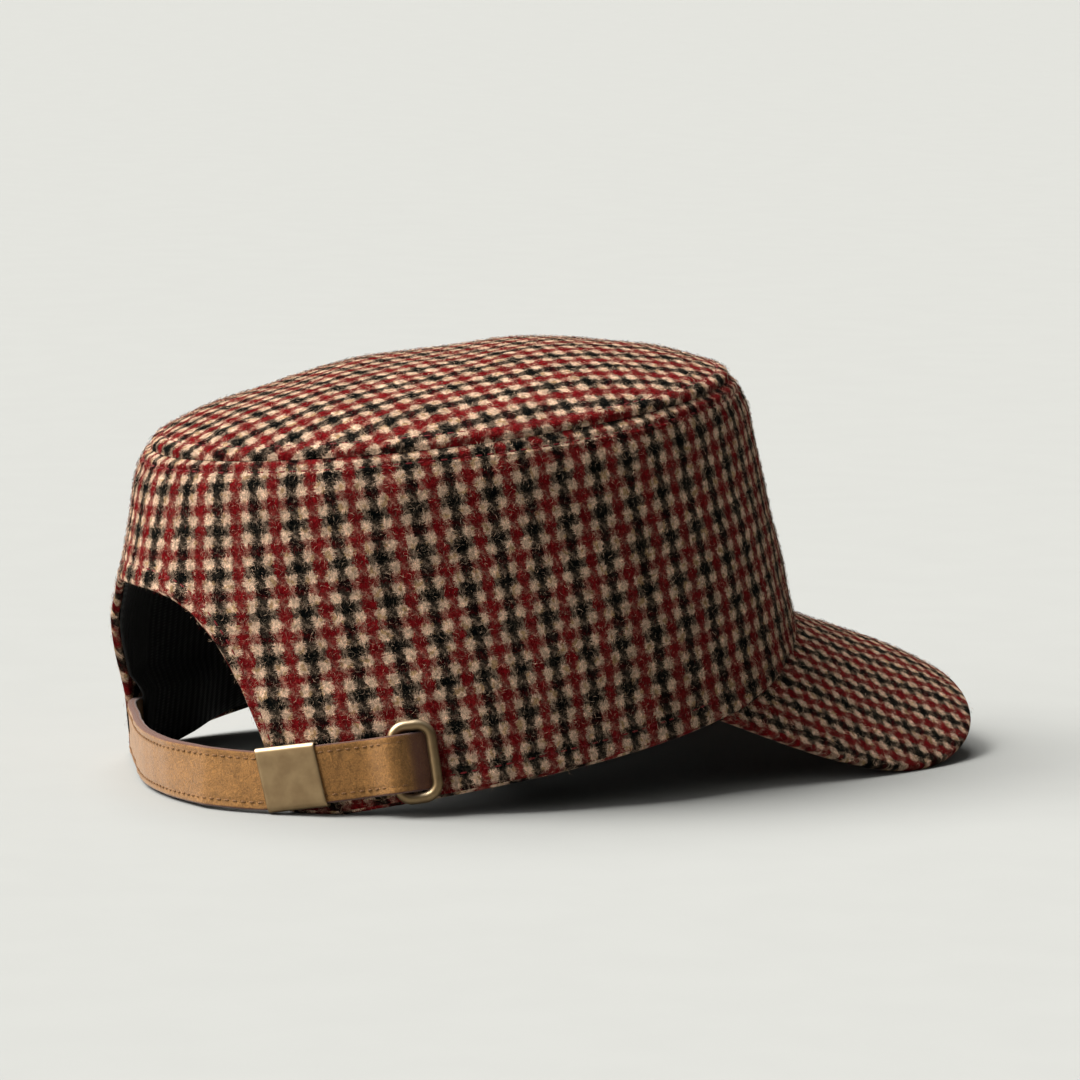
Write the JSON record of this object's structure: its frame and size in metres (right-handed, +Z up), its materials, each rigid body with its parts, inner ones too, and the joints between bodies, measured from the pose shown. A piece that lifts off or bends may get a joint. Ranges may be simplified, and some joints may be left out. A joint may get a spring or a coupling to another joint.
{
  "type": "peaked pillbox cap",
  "caption": "Peaked pillbox cap of check tweed with a flat round crown, a short curved peak and a suede size strap across the open arch at the back.",
  "frame": {"origin": "centre of the bounding box in plan, on the surface that the cap stands on", "axes": "+Z up, -Y the way the wearer looks, so the peak is at -Y and the strap at +Y; the wearer's right is -X"},
  "size_m": [0.1694, 0.2408, 0.1154],
  "materials": {
    "check_tweed": "hairy wool twill in a small cream, dark red and black-green check",
    "black_lining": "matt black lining cloth",
    "tan_suede": "brushed suede with dark edges",
    "antique_brass": "satin antique brass"
  },
  "bodies": {
    "root": {"crown_wall": "check_tweed", "crown_top": "check_tweed", "peak": "check_tweed", "lining": "black_lining", "strap": "tan_suede", "slide_buckle": "antique_brass", "tuck_ring": "antique_brass"}
  },
  "joints": []
}
